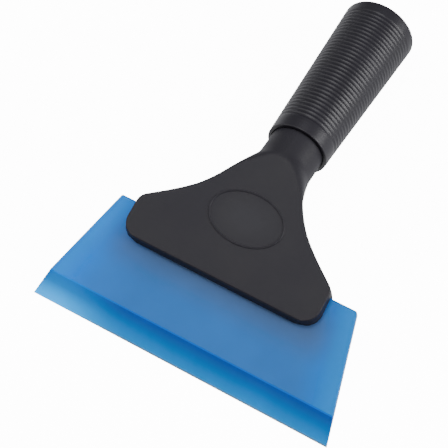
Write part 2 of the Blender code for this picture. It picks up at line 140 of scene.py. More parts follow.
def add_block(bm, size, centre):
    """A box of a given size about a centre."""
    made = bmesh.ops.create_cube(bm, size=1.0)
    bmesh.ops.scale(bm, verts=made["verts"], vec=size)
    bmesh.ops.translate(bm, verts=made["verts"], vec=centre)


def to_object(bm, name, place):
    """Turn a bmesh in a frame's millimetres into an object in metres, with its own origin at the world's."""
    bmesh.ops.remove_doubles(bm, verts=bm.verts, dist=0.0005)
    bmesh.ops.recalc_face_normals(bm, faces=bm.faces)
    bm.transform(place)
    mesh = bpy.data.meshes.new(name)
    bm.to_mesh(mesh)
    bm.free()
    made = bpy.data.objects.new(name, mesh)
    bpy.context.scene.collection.objects.link(made)
    return made


def combine(piece, helper, operation):
    """Cut a helper from a piece or add it, keep the result as the piece's mesh and drop the helper."""
    step = piece.modifiers.new("combine", "BOOLEAN")
    step.operation = operation
    step.solver = "EXACT"
    step.object = helper
    bpy.context.view_layer.update()
    graph = bpy.context.evaluated_depsgraph_get()
    piece.data = bpy.data.meshes.new_from_object(piece.evaluated_get(graph))
    piece.modifiers.clear()
    bpy.data.objects.remove(helper, do_unlink=True)


def add_piece(piece, finish, body, replaced, smooth_angle=35.0):
    """Give a finished piece its material, smooth shading and body, and let it stand for its CAD parts."""
    piece.data.materials.clear()
    piece.data.materials.append(finish)
    piece.data.shade_smooth()
    piece.data.set_sharp_from_angle(angle=math.radians(smooth_angle))
    even = piece.modifiers.new("even_normals", "WEIGHTED_NORMAL")
    even.keep_sharp = True
    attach(piece, body)
    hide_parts(*replaced)
    size = piece.dimensions / MM
    print(f"{piece.name}: {len(piece.data.polygons)} faces, {size.x:.1f} x {size.y:.1f} x {size.z:.1f} mm")
    return piece


print(f"shapes are drawn in units of {MM} m")


# %% [markdown]
# ## Helpers for finishes
#
# Every finish is a node material whose pattern is fixed to the object, in millimetres, so that a pattern's
# size is its real size. One function adds a node with its settings and links, and one turns a colour code
# into the linear values that the renderer works in.

# %% Helpers for materials
def colour(code):
    """A six-digit sRGB code as linear red, green, blue and alpha."""
    shares = [int(code[i:i + 2], 16) / 255.0 for i in (0, 2, 4)]
    linear = [s / 12.92 if s <= 0.04045 else ((s + 0.055) / 1.055) ** 2.4 for s in shares]
    return (*linear, 1.0)


def connect(tree, node, inputs):
    """Set each named input of a node, or link it to another node's output."""
    for socket, value in inputs.items():
        if isinstance(value, bpy.types.NodeSocket):
            tree.links.new(value, node.inputs[socket])
        else:
            node.inputs[socket].default_value = value


def add_node(tree, kind, inputs, output=0, stops=(), **settings):
    """Add a node with its settings, inputs and colour stops, and return one of its outputs."""
    made = tree.nodes.new("ShaderNode" + kind)
    for name, value in settings.items():
        setattr(made, name, value)
    for i, (position, code) in enumerate(stops):
        element = made.color_ramp.elements[i] if i < 2 else made.color_ramp.elements.new(1.0)
        element.position = position
        element.color = colour(code)
    connect(tree, made, inputs)
    return made.outputs[output]


def new_material(name, **shader_values):
    """A material with a principled shader. Underscores stand for the spaces in the inputs' names."""
    made = bpy.data.materials.new(name)
    made.use_nodes = True
    shader = made.node_tree.nodes["Principled BSDF"]
    connect(made.node_tree, shader, {key.replace("_", " "): value for key, value in shader_values.items()})
    return made, made.node_tree, shader


def frame_coordinates(tree, origin, turn):
    """Places on the object in millimetres, in a frame at an origin that is turned about X."""
    place = add_node(tree, "TexCoord", {}, "Object")
    inputs = {"Vector": place, "Location": origin, "Rotation": (turn, 0.0, 0.0), "Scale": (MM, MM, MM)}
    return add_node(tree, "Mapping", inputs, vector_type="TEXTURE")


print(f"a mid grey of 808080 is {colour('808080')[0]:.3f} in linear light")


# %% [markdown]
# ## Head plastic
#
# The head is injection-moulded ABS from a spark-eroded tool, which leaves a fine, even matte grain of about
# a third of a millimetre and kills hard reflections. Handling rubs the grain slightly, so the roughness
# drifts over a few centimetres. The field inside the oval is a shade lighter towards its middle, as where a
# mould's insert has been polished. A noise bump gives the grain and a second, slow noise gives the drift.

# %% Spark-textured ABS
OVAL_CENTRE_Y = 71.6
OVAL_SEMI_AXES = (17.9, 12.1)


def make_head_plastic():
    made, tree, shader = new_material("black_abs_spark_textured", IOR=1.4)
    place = frame_coordinates(tree, tool_origin, tilt)
    grain = add_node(tree, "TexNoise", {"Vector": place, "Scale": 3.0, "Detail": 3.0, "Roughness": 0.6})
    drift = add_node(tree, "TexNoise", {"Vector": place, "Scale": 0.04})
    from_centre = add_node(tree, "Mapping", {"Vector": place, "Location": (0.0, OVAL_CENTRE_Y, 0.0),
                                             "Scale": (*OVAL_SEMI_AXES, 1000.0)}, vector_type="TEXTURE")
    reach = add_node(tree, "VectorMath", {0: from_centre}, "Value", operation="LENGTH")
    inside = add_node(tree, "MapRange", {"Value": reach, "From Min": 1.0, "From Max": 0.3})
    base = add_node(tree, "ValToRGB", {"Fac": drift}, stops=((0.3, "1C1A21"), (0.7, "1F1D25")))
    field = add_node(tree, "ValToRGB", {"Fac": drift}, stops=((0.3, "242329"), (0.7, "27262D")))
    base = add_node(tree, "Mix", {0: inside, 6: base, 7: field}, 2, data_type="RGBA")
    rough = add_node(tree, "MapRange", {"Value": drift, "From Min": 0.3, "From Max": 0.7, "To Min": 0.5,
                                        "To Max": 0.58})
    normal = add_node(tree, "Bump", {"Height": grain, "Distance": 0.03 * MM})
    connect(tree, shader, {"Base Color": base, "Roughness": rough, "Normal": normal})
    return made


head_plastic = make_head_plastic()
print("head:", head_plastic.name)

# %% [markdown]
# ## Blade polyurethane
#
# The blade is cast from translucent blue polyurethane, so its colour depends on how the light gets in. The
# cut ends let light in sideways, and that light is painted in: the blade turns clear cyan within two
# centimetres of them. Further in it is a hazy steel blue, and a painted shade makes it greyest in the middle,
# where the slab lies deepest in the head's shade. The bevel is darkest where it starts and clears again as it
# thins out to the working edge, most of all at the end that faces the light, where a painted glow with a
# faint emission stands for the light that is piped through the slab. The ground land at the edge is a thin
# pale line, and faint streaks run along the slab from grinding.
# Nearly half of the light goes through, and the index and the specular level are low, because the ground skin
# hardly mirrors the room and a stronger mirror would whiten the blue.

# %% Cast polyurethane
BLADE_WIDTH = 150.0
BLADE_DEPTH = 57.7
BLADE_THICKNESS = 6.0
SIDE_SPLAY = 0.26
BEVEL_DEPTH = 12.5
BLADE_SHIFT = (0.5 * (blade_low.x + blade_high.x) - tool_origin.x) / MM
SIDE_LIGHT_REACH = 22.0
HEAD_SHADE_SPAN = (24.0, 41.0)
HEAD_SHADE_FADES_FROM = 44.0
GLOW_ACROSS = (-66.0, -25.0)
GLOW_UP = (0.5, 8.0)
GLOW_STRENGTH = 0.45


def make_blade_polyurethane():
    made, tree, shader = new_material("blue_polyurethane_cast", Roughness=0.34, IOR=1.35)
    place = frame_coordinates(tree, tool_origin, tilt)
    x = add_node(tree, "SeparateXYZ", {"Vector": place}, "X")
    y = add_node(tree, "SeparateXYZ", {"Vector": place}, "Y")
    off_centre = add_node(tree, "Math", {0: x, 1: BLADE_SHIFT}, operation="SUBTRACT")
    off_centre = add_node(tree, "Math", {0: off_centre}, operation="ABSOLUTE")
    side = add_node(tree, "Math", {0: y, 1: -SIDE_SPLAY, 2: 0.5 * BLADE_WIDTH}, operation="MULTIPLY_ADD")
    inward = add_node(tree, "Math", {0: side, 1: off_centre}, operation="SUBTRACT")
    # Painted light: near the cut ends the blue turns clear cyan, standing for the light that comes in sideways.
    inward = add_node(tree, "MapRange", {"Value": inward, "From Min": 0.0, "From Max": SIDE_LIGHT_REACH},
                      interpolation_type="SMOOTHSTEP")
    flat = add_node(tree, "ValToRGB", {"Fac": inward},
                    stops=((0.0, "0098F0"), (0.45, "0086E8"), (1.0, "2E7FD2")))
    # Painted shade: a grey-blue tint near the head stands for the head's shade and its dark plastic seen through
    # the slab. It fades out under the head and moves with the blade.
    painted_head_shade = add_node(tree, "MapRange", {"Value": y, "From Min": HEAD_SHADE_SPAN[0], "From Max": HEAD_SHADE_SPAN[1]},
                         interpolation_type="SMOOTHSTEP")
    from_back = add_node(tree, "MapRange", {"Value": y, "From Min": HEAD_SHADE_FADES_FROM, "From Max": BLADE_DEPTH,
                                            "To Min": 1.0, "To Max": 0.1}, interpolation_type="SMOOTHSTEP")
    painted_head_shade = add_node(tree, "Math", {0: painted_head_shade, 1: inward}, operation="MULTIPLY")
    painted_head_shade = add_node(tree, "Math", {0: painted_head_shade, 1: from_back}, operation="MULTIPLY")
    # Mix in the grey-blue of the painted shade.
    flat = add_node(tree, "Mix", {0: painted_head_shade, 6: flat, 7: colour("4A6FA4")}, 2, data_type="RGBA")
    up_bevel = add_node(tree, "MapRange", {"Value": y, "From Max": BEVEL_DEPTH})
    bevel = add_node(tree, "ValToRGB", {"Fac": up_bevel},
                     stops=((0.03, "8AA6B8"), (0.95, "0054B8"), (0.07, "00AAFE"), (0.45, "007CFC")))
    # Painted light: a cyan glow at the end of the bevel that faces the light stands for the light piped through
    # the slab.
    glow_x = add_node(tree, "MapRange", {"Value": x, "From Min": GLOW_ACROSS[0], "From Max": GLOW_ACROSS[1],
                                         "To Min": 1.0, "To Max": 0.0}, interpolation_type="SMOOTHSTEP")
    glow_y = add_node(tree, "MapRange", {"Value": y, "From Min": GLOW_UP[0], "From Max": GLOW_UP[1],
                                         "To Min": 1.0, "To Max": 0.25})
    glow = add_node(tree, "Math", {0: glow_x, 1: glow_y}, operation="MULTIPLY")
    bevel = add_node(tree, "Mix", {0: glow, 6: bevel, 7: colour("20D0FF")}, 2, data_type="RGBA")
    # The painted glow also drives a faint emission.
    lit = add_node(tree, "Math", {0: glow, 1: GLOW_STRENGTH}, operation="MULTIPLY")
    above = add_node(tree, "MapRange", {"Value": y, "From Min": BEVEL_DEPTH - 0.1,
                                        "From Max": BEVEL_DEPTH + 0.1})
    base = add_node(tree, "Mix", {0: above, 6: bevel, 7: flat}, 2, data_type="RGBA")
    clouds = add_node(tree, "TexNoise", {"Vector": place, "Scale": 0.04})
    clouds = add_node(tree, "ValToRGB", {"Fac": clouds}, stops=((0.3, "F2F2F2"), (0.7, "FFFFFF")))
    base = add_node(tree, "Mix", {0: 1.0, 6: base, 7: clouds}, 2, data_type="RGBA", blend_type="MULTIPLY")
    along = add_node(tree, "Mapping", {"Vector": place, "Scale": (0.02, 2.0, 2.0)})
    streaks = add_node(tree, "TexNoise", {"Vector": along})
    normal = add_node(tree, "Bump", {"Height": streaks, "Distance": 0.01 * MM})
    connect(tree, shader, {"Base Color": base, "Normal": normal, "Transmission Weight": 0.45,
                           "Specular IOR Level": 0.05,
                           "Emission Color": colour("0090FF"), "Emission Strength": lit})
    return made


blade_polyurethane = make_blade_polyurethane()
print("blade:", blade_polyurethane.name)

# %% [markdown]
# ## Grip vinyl, and the plastics and steel inside
#
# The grip's sleeve is soft black vinyl with a semi-gloss skin. The clamp ring is turned acetal, which is
# smooth and waxy. The threaded core is grey nylon, the plug in the butt is the head's ABS with a plainer
# skin, and the screws are zinc-plated steel. They share one function, because each is an even colour with a
# slow drift and a fine grain, and they differ in tone, gloss and grain size. The grains of the harder
# plastics are too fine to show, and are drawn at about half a millimetre.

# %% Vinyl, acetal, nylon, plug plastic and zinc
def make_round_finish(name, dark, light, roughness, grain_size, grain_depth, **shader_values):
    """A finish for a round part: colour and roughness drift over its skin, and a fine grain covers it."""
    made, tree, shader = new_material(name, **shader_values)
    place = frame_coordinates(tree, grip_origin, grip_turn)
    drift = add_node(tree, "TexNoise", {"Vector": place, "Scale": 0.06})
    base = add_node(tree, "ValToRGB", {"Fac": drift}, stops=((0.3, dark), (0.7, light)))
    rough = add_node(tree, "MapRange", {"Value": drift, "From Min": 0.3, "From Max": 0.7,
                                        "To Min": roughness, "To Max": roughness + 0.07})
    grain = add_node(tree, "TexNoise", {"Vector": place, "Scale": 1.0 / grain_size, "Detail": 3.0})
    normal = add_node(tree, "Bump", {"Height": grain, "Distance": grain_depth * MM})
    connect(tree, shader, {"Base Color": base, "Roughness": rough, "Normal": normal})
    return made


grip_vinyl = make_round_finish("black_vinyl_semi_gloss", "131019", "17141E", 0.34, 1.2, 0.01,
                               IOR=1.48)
ring_acetal = make_round_finish("black_acetal_turned", "101012", "141416", 0.3, 0.3, 0.004)
core_nylon = make_round_finish("grey_nylon_moulded", "45464A", "4E4F53", 0.45, 0.5, 0.01)
plug_plastic = make_round_finish("black_abs_plain", "171619", "1B1A1D", 0.42, 0.5, 0.01)
screw_steel = make_round_finish("zinc_plated_steel", "B9B8B2", "CFCEC9", 0.26, 0.4, 0.004, Metallic=1.0)
for round_finish in (grip_vinyl, ring_acetal, core_nylon, plug_plastic, screw_steel):
    print("round part:", round_finish.name)

# %% [markdown]
# ## The blade
#
# A cast slab, 6 mm thick, is cut to a trapezoid and ground on one side to a long bevel that leaves a land
# of about half a millimetre at the working edge. It is lofted here from its two ends and then bevelled by a
# fifth of a millimetre, because cut polyurethane has no truly sharp corners.

# %% Blade
BLADE_EDGE = 0.22
BLADE_CORNER = 0.7


def make_blade():
    bm = bmesh.new()
    outline = ((0.0, 0.0), (BLADE_DEPTH, 0.0), (BLADE_DEPTH, BLADE_THICKNESS),
               (BEVEL_DEPTH, BLADE_THICKNESS), (0.0, EDGE_LAND))
    loops = []
    for side in (-1, 1):
        ends = [BLADE_SHIFT + side * (0.5 * BLADE_WIDTH - SIDE_SPLAY * y) for y, z in outline]
        loops.append([Vector((x, y, z)) for x, (y, z) in zip(ends, outline)])
    add_wrap(bm, loops)
    corners = [edge for edge in bm.edges if abs(edge.calc_length() - BLADE_THICKNESS) < 0.01
               and all(vert.co.y > BLADE_DEPTH - 0.01 for vert in edge.verts)]
    bmesh.ops.bevel(bm, geom=corners, offset=BLADE_CORNER, segments=6, profile=0.5, affect="EDGES",
                    material=-1)
    sharp = [edge for edge in bm.edges if edge.calc_face_angle(0.0) > math.radians(20.0)]
    bmesh.ops.bevel(bm, geom=sharp, offset=BLADE_EDGE, segments=3, profile=0.5, affect="EDGES", material=-1)
    return to_object(bm, "cast_blade", tool_frame)


blade = add_piece(make_blade(), blade_polyurethane, "blade", ["blade"])

# %% [markdown]
# ## The outline of the head
#
# Seen from the front the head is a fan: a straight foot with 8 mm corners, short upright sides, a small
# shoulder, and a concave curve that sweeps into the neck. The curve is a cubic whose ends lie along the
# straight parts. From the side, the centre line runs straight and then bends back by the grip's lean on a
# wide arc, so sections are cut square to that line.

# %% Outline and centre line
HEAD_FOOT = 41.6
HEAD_HALF_WIDTH = 48.9
HEAD_WALL = 5.2
FOOT_RADIUS = 8.0
SHOULDER_START = 57.2
SHOULDER_RADIUS = 6.0
SIDE_SLOPE = math.radians(36.6)
SIDE_REACH = 13.3
NECK_REACH = 21.7
EDGE_ROUND = 0.6
FOOT_FLARE = 1.75
PARTING_Z = 0.5 * BLADE_THICKNESS
PLATE_HALF = PARTING_Z + HEAD_WALL
HALF_GAP = 0.15
BEND_AT = 87.2
BEND_TANGENT = 10.0
NECK_RUN = 30.1
NECK_RADIUS = 13.35
NECK_ROUND_AT = 106.3
ROUNDING_STARTS = 86.0
ROUNDING_ENDS = 105.0
BEND_RADIUS = BEND_TANGENT / math.tan(0.5 * lean)


def smooth_step(value, low, high):
    t = min(1.0, max(0.0, (value - low) / (high - low)))
    return t * t * (3.0 - 2.0 * t)


def side_curve(t):
    """The concave side from the shoulder to the neck."""
    lift = 0.5 * math.pi - SIDE_SLOPE
    start = Vector((HEAD_HALF_WIDTH - SHOULDER_RADIUS * (1.0 - math.cos(lift)),
                    SHOULDER_START + SHOULDER_RADIUS * math.sin(lift)))
    end = Vector((NECK_RADIUS, NECK_ROUND_AT))
    pull_start = start + SIDE_REACH * Vector((-math.cos(SIDE_SLOPE), math.sin(SIDE_SLOPE)))
    pull_end = end - Vector((0.0, NECK_REACH))
    u = 1.0 - t
    return u ** 3 * start + 3 * u * u * t * pull_start + 3 * u * t * t * pull_end + t ** 3 * end


def head_half_width(y):
    if y < HEAD_FOOT + FOOT_RADIUS:
        below = HEAD_FOOT + FOOT_RADIUS - y
        return HEAD_HALF_WIDTH - FOOT_RADIUS + math.sqrt(max(0.0, FOOT_RADIUS ** 2 - below ** 2))
    if y < SHOULDER_START:
        return HEAD_HALF_WIDTH
    if y < side_curve(0.0).y:
        above = y - SHOULDER_START
        return HEAD_HALF_WIDTH - SHOULDER_RADIUS + math.sqrt(SHOULDER_RADIUS ** 2 - above ** 2)
    if y > NECK_ROUND_AT:
        return NECK_RADIUS
    low = 0.0
    high = 1.0
    for _ in range(40):
        middle = 0.5 * (low + high)
        if side_curve(middle).y < y:
            low = middle
        else:
            high = middle
    return side_curve(low).x


def spine(run):
    """Place and lean of the centre line at a run from the working edge."""
    bend_start = BEND_AT - BEND_TANGENT
    turned = min(lean, max(0.0, (run - bend_start) / BEND_RADIUS))
    place = Vector((0.0, min(run, bend_start), PARTING_Z))
    place += BEND_RADIUS * Vector((0.0, math.sin(turned), math.cos(turned) - 1.0))
    past = max(0.0, run - bend_start - BEND_RADIUS * lean)
    return place + past * Vector((0.0, math.cos(turned), -math.sin(turned))), turned


def run_at_grip(distance):
    """Run of a point on the grip's axis, measured from the grip's mouth."""
    return BEND_AT + NECK_RUN - 2.0 * BEND_TANGENT + BEND_RADIUS * lean + distance


print(f"head is {2 * HEAD_HALF_WIDTH:.1f} mm wide and {2 * PLATE_HALF:.1f} mm thick")

# %% [markdown]
# ## Sections of a shell
#
# Each shell is half of the head, split through the blade's middle plane. Its sections have a flat on the
# parting plane, a wall and a face with a small rounding. At the foot the wall flares down to the blade, which
# gives the head its dark lower rim, and the flare dies out up the sides. Towards the neck the rounding grows
# until the two halves make a full circle, which is how the flat plate turns into a round neck.
# Past the mouth of the grip the halves step down to a cone for the clamp ring and to the threaded stem.

# %% Half sections
ARC_STEPS = 12
CONE = ((2.3, 12.0), (9.0, 11.0))
STEM_RADIUS = 9.0
STEM_END = 31.0


def half_section(run, side, half_width, height, rounding, flare=0.0):
    place, turned = spine(run)
    out = side * Vector((0.0, math.sin(turned), math.cos(turned)))
    base = height - rounding
    first = 0.0 if base > HALF_GAP else math.asin((HALF_GAP - base) / rounding)
    corner = [(half_width + flare, HALF_GAP)] if base > HALF_GAP else []
    steps = ARC_STEPS if base > HALF_GAP else ARC_STEPS + 1
    for i in range(steps + 1):
        angle = first + (0.5 * math.pi - first) * i / steps
        x = half_width - rounding + rounding * math.cos(angle)
        corner.append((max(x, 0.01), base + rounding * math.sin(angle)))
    mirrored = [(-x, z) for x, z in reversed(corner)]
    return [place + Vector((x, 0.0, 0.0)) + z * out for x, z in corner + mirrored]


def head_section(run, side):
    place, turned = spine(run)
    half_width = head_half_width(place.y)
    if side > 0:
        height = min((PLATE_HALF + PARTING_Z - place.z) / math.cos(turned), NECK_RADIUS)
    else:
        grown = smooth_step(run, BEND_AT - BEND_TANGENT, ROUNDING_ENDS)
        height = PLATE_HALF + (NECK_RADIUS - PLATE_HALF) * grown
    foot = min(EDGE_ROUND, max(0.0, EDGE_ROUND - (run - HEAD_FOOT)))
    height -= EDGE_ROUND - math.sqrt(EDGE_ROUND ** 2 - foot ** 2)
    flare = FOOT_FLARE * (1.0 - smooth_step(run, HEAD_FOOT, ROUNDING_STARTS)) ** 4
    below = HEAD_FOOT + FOOT_RADIUS - run
    if below > 0.0:
        flared = HEAD_HALF_WIDTH - FOOT_RADIUS + math.sqrt((FOOT_RADIUS + flare) ** 2 - below ** 2)
        flare = flared - half_width
    if run < HEAD_FOOT:
        height += (HALF_GAP - height) * (HEAD_FOOT - run) / FOOT_FLARE
    rounding = EDGE_ROUND + (height - EDGE_ROUND) * smooth_step(run, ROUNDING_STARTS, ROUNDING_ENDS)
    return half_section(run, side, half_width, height, min(rounding, height), flare)


def head_runs():
    """Runs at which the head is cut into sections, closer where its outline turns."""
    runs = [HEAD_FOOT - FOOT_FLARE * share for share in (0.66, 0.5, 0.35, 0.2, 0.1)]
    runs += [HEAD_FOOT + EDGE_ROUND * (1.0 - math.cos(math.radians(a))) for a in range(0, 91, 15)]
    runs += [HEAD_FOOT + FOOT_RADIUS * (1.0 - math.cos(math.radians(a))) for a in range(40, 91, 5)]
    runs += [SHOULDER_START - 1.5 * step for step in range(1, 5)]
    runs += [SHOULDER_START + SHOULDER_RADIUS * math.sin(math.radians(a)) for a in range(0, 51, 5)]
    first = side_curve(0.0).y
    last = run_at_grip(-1.0)
    runs += [first + (last - first) * i / 60 for i in range(61)]
    return sorted(runs)


def stem_sections(side):
    rings = ((2.0, NECK_RADIUS), *CONE, (9.2, STEM_RADIUS), (STEM_END - 1.0, STEM_RADIUS),
             (STEM_END, STEM_RADIUS - 1.0))
    return [half_section(run_at_grip(at), side, radius, radius, radius) for at, radius in rings]


print("sections along the head:", len(head_runs()))

# %% [markdown]
# ## Thread
#
# The neck ends in a right-handed thread with a pitch of 5 mm, half of it on each shell. A ridge is swept by
# spinning its section while it climbs, and it stops just short of the parting plane.

# %% Half threads
THREAD_PITCH = 5.0
THREAD_START = 12.5
THREAD_TURNS = 3
THREAD_CREST = 10.6


def add_half_thread(bm, side):
    inner = STEM_RADIUS - 0.6
    inner_half = 0.6 + 0.4375 * (THREAD_CREST - inner)
    for turn in range(THREAD_TURNS):
        first = (turn + (0.5 if side > 0 else 0.0)) * math.tau + math.radians(2.0)
        sweep = math.pi - math.radians(4.0)
        height = THREAD_START + THREAD_PITCH * first / math.tau
        corners = ((inner, height - inner_half), (THREAD_CREST, height - 0.6), (THREAD_CREST, height + 0.6),
                   (inner, height + inner_half))
        spun = Matrix.Rotation(first, 3, "Z")
        verts = [bm.verts.new(spun @ Vector((radius, 0.0, z))) for radius, z in corners]
        edges = [bm.edges.new(pair) for pair in zip(verts, verts[1:] + verts[:1])]
        bmesh.ops.spin(bm, geom=verts + edges, cent=(0, 0, 0), axis=(0, 0, 1),
                       dvec=(0, 0, THREAD_PITCH * sweep / math.tau / 24), angle=sweep, steps=24,
                       use_merge=False, use_duplicate=False)
    bmesh.ops.holes_fill(bm, edges=[edge for edge in bm.edges if edge.is_boundary], sides=0)


print(f"the thread takes {THREAD_TURNS * THREAD_PITCH:.0f} mm of the stem")

# %% [markdown]
# ## Front shell
#
# The front shell carries the raised oval line of the label field. The slot for the blade is cut right
# through from side to side, a little wider than the blade is thick. The slot is taken away and the thread
# and the oval are added as solids, because that keeps the loft itself simple.

# %% Front shell
OVAL_LINE_WIDTH = 1.0
OVAL_HEIGHT = 0.35


def add_blade_slot(bm):
    low = 30.0
    high = BLADE_DEPTH + 0.5
    add_block(bm, (160.0, high - low, BLADE_THICKNESS + 0.6), (0.0, 0.5 * (low + high), PARTING_Z))


def add_oval_line(bm):
    """A ridge with a round top that follows an ellipse and is sunk into the face."""
    half = 0.5 * OVAL_LINE_WIDTH
    arch = [(half * math.cos(math.radians(a)), OVAL_HEIGHT * math.sin(math.radians(a)))
            for a in range(0, 181, 20)]
    sections = []
    for i in range(145):
        t = math.tau * i / 144
        section = []
        for offset, lift in [(-half, -0.3), (half, -0.3), *arch]:
            x = (OVAL_SEMI_AXES[0] + offset) * math.cos(t)
            y = (OVAL_SEMI_AXES[1] + offset) * math.sin(t)
            section.append(Vector((x, OVAL_CENTRE_Y + y, PARTING_Z + PLATE_HALF + lift)))
        sections.append(section)
    add_wrap(bm, sections, closed_ends=False)


def make_shell(name, side):
    bm = bmesh.new()
    add_wrap(bm, [head_section(run, side) for run in head_runs()] + stem_sections(side))
    shell = to_object(bm, name, tool_frame)
    slot = bmesh.new()
    add_blade_slot(slot)
    combine(shell, to_object(slot, "slot", tool_frame), "DIFFERENCE")
    thread = bmesh.new()
    add_half_thread(thread, side)
    combine(shell, to_object(thread, "thread", grip_frame), "UNION")
    return shell


def make_front_shell():
    shell = make_shell("front_half_shell", 1)
    line = bmesh.new()
    add_oval_line(line)
    combine(shell, to_object(line, "oval", tool_frame), "UNION")
    return shell


front_shell = add_piece(make_front_shell(), head_plastic, "head", ["front_shell"])

# %% [markdown]
# ## Rear shell
#
# The rear shell is the front one's mirror image without the oval. Three screws come in from the back and
# pull the shells together. Each sits in a counterbore, with its head just below the surface, so a turned
# cutter with a small chamfer is taken away at each screw's place, which is read from its CAD part.

# %% Rear shell
SCREW_HEAD = 3.1
SCREW_SHANK = 1.5
SCREW_TIP_Z = 7.4
COUNTERBORE_DEPTH = 2.3
BACK_Z = PARTING_Z - PLATE_HALF
SCREWS = sorted(name for name in frame["nodes"] if name.startswith("shell_screw"))


def screw_place(name):
    """Where a screw's axis crosses the blade's back plane, from the middle of its CAD part."""
    low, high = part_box(name)
    middle = tool_frame.inverted() @ (0.5 * (low + high))
    return Vector((middle.x, middle.y, 0.0))


def make_rear_shell():
    shell = make_shell("rear_half_shell", -1)
    for name in SCREWS:
        bore = bmesh.new()
        wide = SCREW_HEAD + 0.3
        seat = BACK_Z + COUNTERBORE_DEPTH
        outline = ((0.0, BACK_Z - 1.0), (wide + 0.3, BACK_Z - 1.0), (wide + 0.3, BACK_Z),
                   (wide, BACK_Z + 0.3), (wide, seat), (0.0, seat))
        add_turned(bore, outline, 48, screw_place(name))
        combine(shell, to_object(bore, "counterbore", tool_frame), "DIFFERENCE")
    return shell


rear_shell = add_piece(make_rear_shell(), head_plastic, "head", ["rear_shell"])

# %% [markdown]
# ## Screws
#
# The screws are cold-formed self-tappers with a pan head and a cross recess. Only the head is seen, at the
# bottom of its counterbore. It is spun as a lathe would turn it, and two crossed blocks cut the recess.

# %% Screws
def make_screw(name):
    seat = BACK_Z + COUNTERBORE_DEPTH - 0.3
    low = seat - 1.8
    crown = [(SCREW_HEAD - 1.0 + math.sin(math.radians(a)), low + 1.0 - math.cos(math.radians(a)))
             for a in range(0, 91, 15)]
    outline = [(0.0, low), *crown, (SCREW_HEAD, seat - 0.1), (SCREW_HEAD - 0.1, seat),
               (SCREW_SHANK, seat), (SCREW_SHANK, SCREW_TIP_Z - 1.2), (0.4, SCREW_TIP_Z), (0.0, SCREW_TIP_Z)]
    place = screw_place(name)
    bm = bmesh.new()
    add_turned(bm, outline, 48, place)
    screw = to_object(bm, name.replace("shell_screw", "pan_head_screw"), tool_frame)
    for size in ((3.4, 0.9, 2.0), (0.9, 3.4, 2.0)):
        recess = bmesh.new()
        add_block(recess, size, place + Vector((0.0, 0.0, low)))
        combine(screw, to_object(recess, "recess", tool_frame), "DIFFERENCE")
    return screw


for screw_name in SCREWS:
    add_piece(make_screw(screw_name), screw_steel, "head", [screw_name])

# %% [markdown]
# ## Grip sleeve
#
# The sleeve is a moulded tube that widens from the mouth to the butt. Fine ribs run round it at a pitch of
# about 2.3 mm, with a smooth collar at the mouth and a smooth band at the butt. Its outline is drawn as the
# half section that a mould maker would turn, ribs included, and then spun.

# %% Grip sleeve
GRIP_LENGTH = 86.0
MOUTH_RADIUS = 15.3
BUTT_RADIUS = 18.63
BUTT_ROUND = 1.3
SLEEVE_BORE = (13.75, 16.2)
RIB_PITCH = 2.28
RIB_DEPTH = 0.29
RIBS_START = 7.0
RIB_COUNT = 32
RIB_POINTS = 8


def sleeve_radius(at):
    return MOUTH_RADIUS + (BUTT_RADIUS - MOUTH_RADIUS) * at / (GRIP_LENGTH - BUTT_ROUND)


def make_sleeve():
    outline = [(SLEEVE_BORE[0], 0.0), (MOUTH_RADIUS - 0.5, 0.0)]
    outline += [(MOUTH_RADIUS - 0.5 + 0.5 * math.sin(math.radians(a)), 0.5 - 0.5 * math.cos(math.radians(a)))
                for a in (30, 60, 90)]
    outline.append((sleeve_radius(RIBS_START - RIB_PITCH), RIBS_START - RIB_PITCH))
    for i in range(RIB_COUNT * RIB_POINTS + 1):
        phase = i / RIB_POINTS
        at = RIBS_START + RIB_PITCH * phase
        groove = (0.5 - 0.5 * math.cos(math.tau * phase)) ** 0.4
        outline.append((sleeve_radius(at) - RIB_DEPTH * groove, at))
    centre = (BUTT_RADIUS - BUTT_ROUND, GRIP_LENGTH - BUTT_ROUND)
    outline += [(centre[0] + BUTT_ROUND * math.cos(math.radians(a)),
                 centre[1] + BUTT_ROUND * math.sin(math.radians(a))) for a in range(0, 91, 10)]
    outline.append((SLEEVE_BORE[1], GRIP_LENGTH))
    bm = bmesh.new()
    add_turned(bm, outline, 144)
    return to_object(bm, "ribbed_sleeve", grip_frame)


sleeve = add_piece(make_sleeve(), grip_vinyl, "grip", ["grip_sleeve"], 60.0)

# %% [markdown]
# ## End plug, core and ring
#
# A plug closes the butt, half a millimetre below the sleeve's rim. Its face is slightly dished, with the
# small dimple of the moulding gate at its centre. The threaded core and the clamp ring are only seen
# through the mouth when the grip is backed off, so their CAD parts stay and just get their finishes.

# %% End plug, core and ring
PLUG_RADIUS = 15.85
PLUG_FACE = 85.6
CORE_END = 82.3


def make_plug():
    rim = [(PLUG_RADIUS - 0.6 + 0.6 * math.cos(math.radians(a)),
            PLUG_FACE - 0.6 + 0.6 * math.sin(math.radians(a))) for a in range(0, 91, 15)]
    outline = [(0.0, CORE_END), (PLUG_RADIUS, CORE_END), *rim, (12.5, PLUG_FACE), (11.9, PLUG_FACE - 0.35),
               (1.6, PLUG_FACE - 0.35), (1.2, PLUG_FACE - 0.75), (0.0, PLUG_FACE - 0.8)]
    bm = bmesh.new()
    add_turned(bm, outline, 96)
    return to_object(bm, "butt_plug", grip_frame)


plug = add_piece(make_plug(), plug_plastic, "grip", ["end_plug"])
for node_name, finish, slot_name in (("clamp_ring", ring_acetal, "ring_acetal"),
                                     ("grip_core", core_nylon, "core_nylon")):
    kept = frame["nodes"][node_name]
    kept.data.materials.clear()
    kept.data.materials.append(finish)
    print(node_name, "keeps its CAD shape, in", finish.name)

# %% [markdown]
# ## Table
#
# The tool lies on a lit table, as in a small product studio, so that it stands on plain white with hardly a
# shadow. The table glows, but its glow is only there for the camera: the room below gives the tool the
# light that such a table would throw up at it, without the noise of a very bright surface close by.

